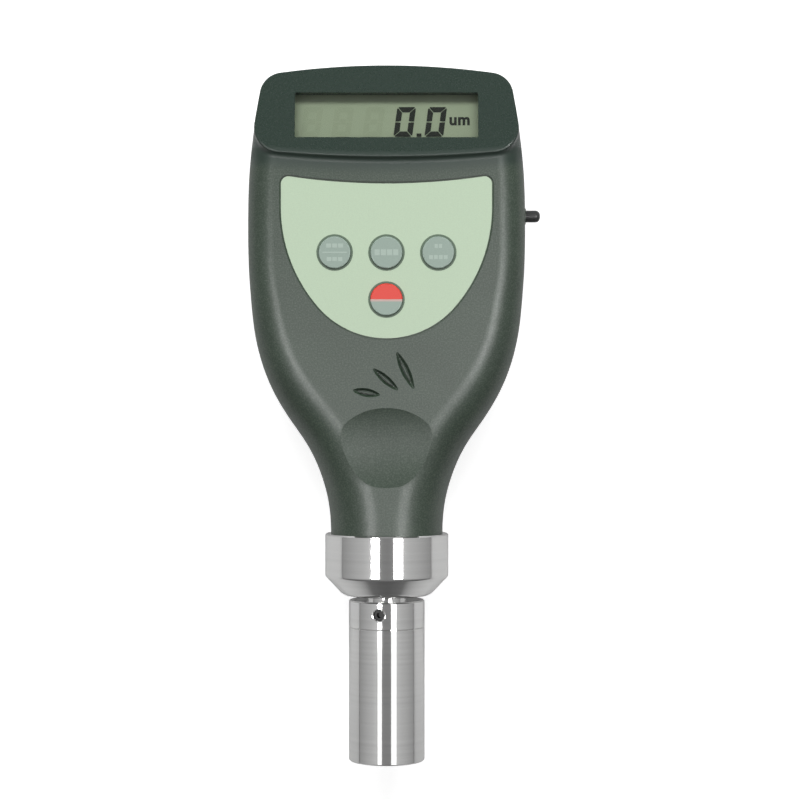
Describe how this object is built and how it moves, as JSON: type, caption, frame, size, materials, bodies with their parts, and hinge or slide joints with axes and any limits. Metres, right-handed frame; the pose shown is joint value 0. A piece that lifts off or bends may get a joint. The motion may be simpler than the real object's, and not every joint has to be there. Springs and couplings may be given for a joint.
{
  "type": "surface profile gauge",
  "caption": "Hand-held digital gauge that measures surface roughness depth with a sprung stylus in a steel probe, with display, keypad and battery door.",
  "frame": {"origin": "on the flat back, on the centre line, 81 mm from the foot's flat end", "axes": "+Z out of the face, +Y along the gauge towards the display end, +X to the right seen from the front"},
  "size_m": [0.0681, 0.1633, 0.0291],
  "materials": {
    "case_plastic": "fine moulded texture, dark green-grey",
    "door_plastic": "fine moulded texture, dark green-grey",
    "tray_plastic": "plain moulded black",
    "carrier_plastic": "plain moulded white",
    "cell_jacket": "plain metallic jacket",
    "contact_plate": "nickel plated",
    "board_laminate": "green solder mask",
    "clear_pane": "clear gloss",
    "lcd_glass": "grey-green reflective display",
    "overlay_film": "satin printed film, pale green",
    "key_grey": "satin, pale grey print",
    "key_power": "satin, red upper half and grey lower half",
    "mat_rubber": "plain silicone",
    "jack_plastic": "plain moulded black",
    "plug_rubber": "glossy black rubber",
    "screw_steel": "blackened steel",
    "turned_steel": "fine turned finish",
    "coil_copper": "lacquered winding",
    "retainer_plastic": "plain moulded black",
    "bush_bronze": "plain bronze",
    "stylus_steel": "ground and polished",
    "stylus_carbide": "ground carbide",
    "core_ferrite": "plain sintered",
    "spring_steel": "bright drawn wire"
  },
  "bodies": {
    "case": {"front_shell": "case_plastic", "back_shell": "case_plastic", "battery_tray": "tray_plastic", "battery_1": "cell_jacket", "battery_2": "cell_jacket", "battery_3": "cell_jacket", "battery_4": "cell_jacket", "cell_contacts": "contact_plate", "main_board": "board_laminate", "display_window": "clear_pane", "lcd_panel": "lcd_glass", "lcd_carrier": "carrier_plastic", "keypad_overlay": "overlay_film", "key_mat": "mat_rubber", "data_jack": "jack_plastic", "case_screws": "screw_steel", "board_screws": "screw_steel", "sensor_collar": "turned_steel", "sensor_coil": "coil_copper", "coil_retainer": "retainer_plastic", "probe_stem": "turned_steel", "foot_cap": "turned_steel", "set_screw": "screw_steel", "foot_tube": "turned_steel", "upper_guide_bush": "bush_bronze", "lower_guide_bush": "bush_bronze", "stylus_spring": "spring_steel"},
    "stylus": {"stylus_shaft": "stylus_steel", "stylus_tip": "stylus_carbide", "spring_seat": "stylus_steel", "sensor_core": "core_ferrite"},
    "battery_door": {"battery_door": "door_plastic"},
    "dust_plug": {"dust_plug": "plug_rubber"},
    "mode_key": {"mode_key": "key_grey"},
    "zero_key": {"zero_key": "key_grey"},
    "unit_key": {"unit_key": "key_grey"},
    "power_key": {"power_key": "key_power"}
  },
  "joints": [
    {"name": "mode_key_press", "type": "slide", "parent": "case", "child": "mode_key", "axis": [0, 0, -1], "range_m": [0, 0.0007], "stiffness_N_per_m": 800, "springref_m": -0.0006},
    {"name": "zero_key_press", "type": "slide", "parent": "case", "child": "zero_key", "axis": [0, 0, -1], "range_m": [0, 0.0007], "stiffness_N_per_m": 800, "springref_m": -0.0006},
    {"name": "unit_key_press", "type": "slide", "parent": "case", "child": "unit_key", "axis": [0, 0, -1], "range_m": [0, 0.0007], "stiffness_N_per_m": 800, "springref_m": -0.0006},
    {"name": "power_key_press", "type": "slide", "parent": "case", "child": "power_key", "axis": [0, 0, -1], "range_m": [0, 0.0007], "stiffness_N_per_m": 800, "springref_m": -0.0006},
    {"name": "stylus_slide", "type": "slide", "parent": "case", "child": "stylus", "axis": [0, 1, 0], "range_m": [0, 0.001], "stiffness_N_per_m": 300, "springref_m": -0.004, "deforming": ["stylus_spring"]},
    {"name": "battery_door_slide", "type": "slide", "parent": "case", "child": "battery_door", "axis": [0, 1, 0], "range_m": [0, 0.062]},
    {"name": "dust_plug_pull", "type": "slide", "parent": "case", "child": "dust_plug", "axis": [1, 0, 0], "range_m": [0, 0.012]}
  ]
}
